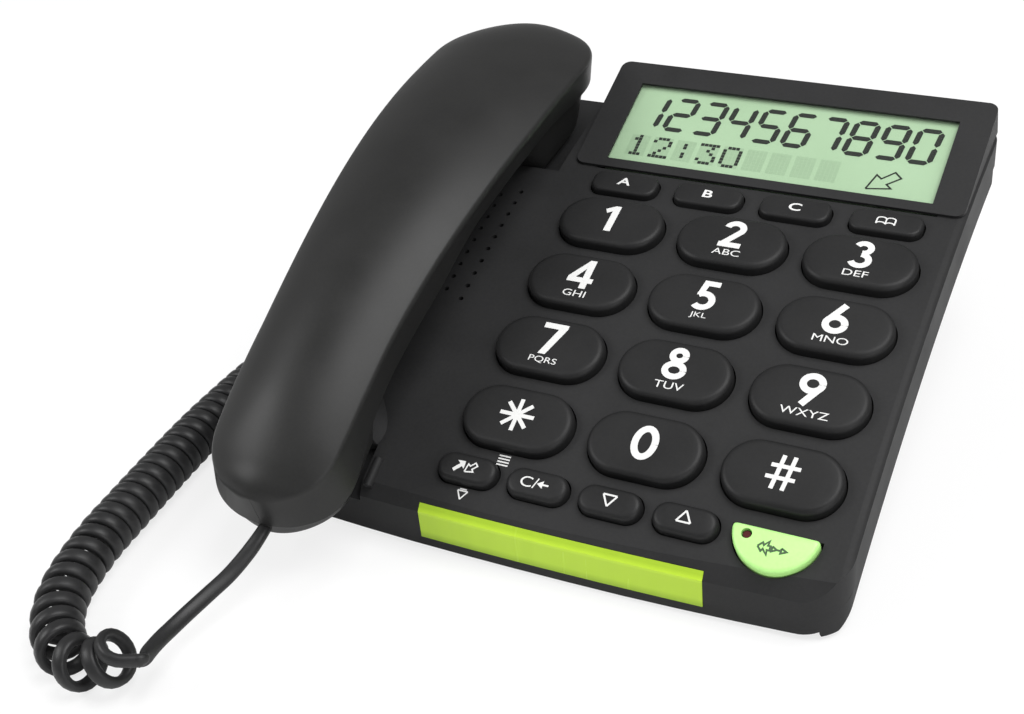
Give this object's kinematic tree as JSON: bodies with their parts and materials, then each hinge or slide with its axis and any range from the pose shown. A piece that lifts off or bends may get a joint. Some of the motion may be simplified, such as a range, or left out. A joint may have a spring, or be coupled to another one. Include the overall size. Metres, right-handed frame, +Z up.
{
  "type": "corded desk telephone",
  "caption": "Corded desk telephone with large round-ended keys, a tilted display, a lift-off handset and a curly cord.",
  "frame": {"origin": "on the table, below the middle of the base and handset together, cord left out", "axes": "+X to the user's right, +Y to the rear, +Z up; the user sits at -Y"},
  "size_m": [0.2064, 0.2484, 0.0857],
  "materials": {
    "housing": "fine matte black",
    "key": "soft black",
    "green_key": "bright green",
    "window": "clear window",
    "display": "pale green liquid crystal",
    "circuit_board": "green board",
    "steel": "plain",
    "rubber": "soft",
    "dark_plastic": "plain",
    "lens": "translucent yellow-green",
    "lamp": "red lamp",
    "battery": "plain metal jacket",
    "cord": "smooth black jacket",
    "plug": "clear plug"
  },
  "bodies": {
    "base": {"base_top_shell": "housing", "base_bottom_shell": "housing", "display_bezel": "housing", "lcd_window": "window", "lcd_panel": "display", "main_circuit_board": "circuit_board", "board_screws": "steel", "keypad_membrane": "rubber", "base_loudspeaker": "dark_plastic", "ring_indicator_lens": "lens", "ring_indicator_leds": "circuit_board", "speaker_led": "lamp", "hook_switch": "steel", "hook_spring": "steel", "line_jack": "dark_plastic", "base_cord_jack": "dark_plastic", "battery_cells": "battery", "battery_contacts": "steel", "rubber_feet": "rubber", "base_screws": "steel", "handset_cord_lead": "cord", "curly_cord": "cord", "base_cord_lead": "cord", "base_cord_plug": "plug"},
    "handset": {"handset_upper_shell": "housing", "handset_lower_shell": "housing", "earpiece_receiver": "steel", "microphone": "steel", "handset_weight": "steel", "handset_cord_jack": "dark_plastic", "handset_screws": "steel", "handset_cord_plug": "plug"},
    "hook_plunger": {"hook_plunger": "key"},
    "battery_cover": {"battery_cover": "housing"},
    "ringer_switch": {"ringer_switch": "key"},
    "key_1": {"key_1": "key"},
    "key_2": {"key_2": "key"},
    "key_3": {"key_3": "key"},
    "key_4": {"key_4": "key"},
    "key_5": {"key_5": "key"},
    "key_6": {"key_6": "key"},
    "key_7": {"key_7": "key"},
    "key_8": {"key_8": "key"},
    "key_9": {"key_9": "key"},
    "key_star": {"key_star": "key"},
    "key_0": {"key_0": "key"},
    "key_hash": {"key_hash": "key"},
    "memory_key_a": {"memory_key_a": "key"},
    "memory_key_b": {"memory_key_b": "key"},
    "memory_key_c": {"memory_key_c": "key"},
    "phonebook_key": {"phonebook_key": "key"},
    "redial_key": {"redial_key": "key"},
    "clear_key": {"clear_key": "key"},
    "down_key": {"down_key": "key"},
    "up_key": {"up_key": "key"},
    "speaker_key": {"speaker_key": "green_key"}
  },
  "joints": [
    {"name": "handset_lift", "type": "slide", "parent": "base", "child": "handset", "axis": [0, 0, 1], "range_m": [0, 0.05], "deforming": ["handset_cord_lead"]},
    {"name": "hook_plunger_slide", "type": "slide", "parent": "base", "child": "hook_plunger", "axis": [0, 0, 1], "range_m": [0, 0.004], "deforming": ["hook_spring"]},
    {"name": "battery_cover_slide", "type": "slide", "parent": "base", "child": "battery_cover", "axis": [0, -1, 0], "range_m": [0, 0.012]},
    {"name": "ringer_switch_slide", "type": "slide", "parent": "base", "child": "ringer_switch", "axis": [1, 0, 0], "range_m": [0, 0.004]},
    {"name": "key_1_press", "type": "slide", "parent": "base", "child": "key_1", "axis": [0, 0.2361, -0.9717], "range_m": [0, 0.0012], "stiffness_N_per_m": 400, "springref_m": -0.001},
    {"name": "key_2_press", "type": "slide", "parent": "base", "child": "key_2", "axis": [0, 0.2361, -0.9717], "range_m": [0, 0.0012], "stiffness_N_per_m": 400, "springref_m": -0.001},
    {"name": "key_3_press", "type": "slide", "parent": "base", "child": "key_3", "axis": [0, 0.2361, -0.9717], "range_m": [0, 0.0012], "stiffness_N_per_m": 400, "springref_m": -0.001},
    {"name": "key_4_press", "type": "slide", "parent": "base", "child": "key_4", "axis": [0, 0.2849, -0.9586], "range_m": [0, 0.0012], "stiffness_N_per_m": 400, "springref_m": -0.001},
    {"name": "key_5_press", "type": "slide", "parent": "base", "child": "key_5", "axis": [0, 0.2849, -0.9586], "range_m": [0, 0.0012], "stiffness_N_per_m": 400, "springref_m": -0.001},
    {"name": "key_6_press", "type": "slide", "parent": "base", "child": "key_6", "axis": [0, 0.2849, -0.9586], "range_m": [0, 0.0012], "stiffness_N_per_m": 400, "springref_m": -0.001},
    {"name": "key_7_press", "type": "slide", "parent": "base", "child": "key_7", "axis": [0, 0.3329, -0.9429], "range_m": [0, 0.0012], "stiffness_N_per_m": 400, "springref_m": -0.001},
    {"name": "key_8_press", "type": "slide", "parent": "base", "child": "key_8", "axis": [0, 0.3329, -0.9429], "range_m": [0, 0.0012], "stiffness_N_per_m": 400, "springref_m": -0.001},
    {"name": "key_9_press", "type": "slide", "parent": "base", "child": "key_9", "axis": [0, 0.3329, -0.9429], "range_m": [0, 0.0012], "stiffness_N_per_m": 400, "springref_m": -0.001},
    {"name": "key_star_press", "type": "slide", "parent": "base", "child": "key_star", "axis": [0, 0.3801, -0.9249], "range_m": [0, 0.0012], "stiffness_N_per_m": 400, "springref_m": -0.001},
    {"name": "key_0_press", "type": "slide", "parent": "base", "child": "key_0", "axis": [0, 0.3801, -0.9249], "range_m": [0, 0.0012], "stiffness_N_per_m": 400, "springref_m": -0.001},
    {"name": "key_hash_press", "type": "slide", "parent": "base", "child": "key_hash", "axis": [0, 0.3801, -0.9249], "range_m": [0, 0.0012], "stiffness_N_per_m": 400, "springref_m": -0.001},
    {"name": "memory_key_a_press", "type": "slide", "parent": "base", "child": "memory_key_a", "axis": [0, 0.1998, -0.9798], "range_m": [0, 0.0012], "stiffness_N_per_m": 400, "springref_m": -0.001},
    {"name": "memory_key_b_press", "type": "slide", "parent": "base", "child": "memory_key_b", "axis": [0, 0.1998, -0.9798], "range_m": [0, 0.0012], "stiffness_N_per_m": 400, "springref_m": -0.001},
    {"name": "memory_key_c_press", "type": "slide", "parent": "base", "child": "memory_key_c", "axis": [0, 0.1998, -0.9798], "range_m": [0, 0.0012], "stiffness_N_per_m": 400, "springref_m": -0.001},
    {"name": "phonebook_key_press", "type": "slide", "parent": "base", "child": "phonebook_key", "axis": [0, 0.1998, -0.9798], "range_m": [0, 0.0012], "stiffness_N_per_m": 400, "springref_m": -0.001},
    {"name": "redial_key_press", "type": "slide", "parent": "base", "child": "redial_key", "axis": [0, 0.4139, -0.9103], "range_m": [0, 0.0012], "stiffness_N_per_m": 400, "springref_m": -0.001},
    {"name": "clear_key_press", "type": "slide", "parent": "base", "child": "clear_key", "axis": [0, 0.4139, -0.9103], "range_m": [0, 0.0012], "stiffness_N_per_m": 400, "springref_m": -0.001},
    {"name": "down_key_press", "type": "slide", "parent": "base", "child": "down_key", "axis": [0, 0.4139, -0.9103], "range_m": [0, 0.0012], "stiffness_N_per_m": 400, "springref_m": -0.001},
    {"name": "up_key_press", "type": "slide", "parent": "base", "child": "up_key", "axis": [0, 0.4139, -0.9103], "range_m": [0, 0.0012], "stiffness_N_per_m": 400, "springref_m": -0.001},
    {"name": "speaker_key_press", "type": "slide", "parent": "base", "child": "speaker_key", "axis": [0, 0.4084, -0.9128], "range_m": [0, 0.0012], "stiffness_N_per_m": 400, "springref_m": -0.001}
  ],
  "couplings": [
    {"joint": "hook_plunger_slide", "follows": "handset_lift", "ratio": 0.08}
  ]
}
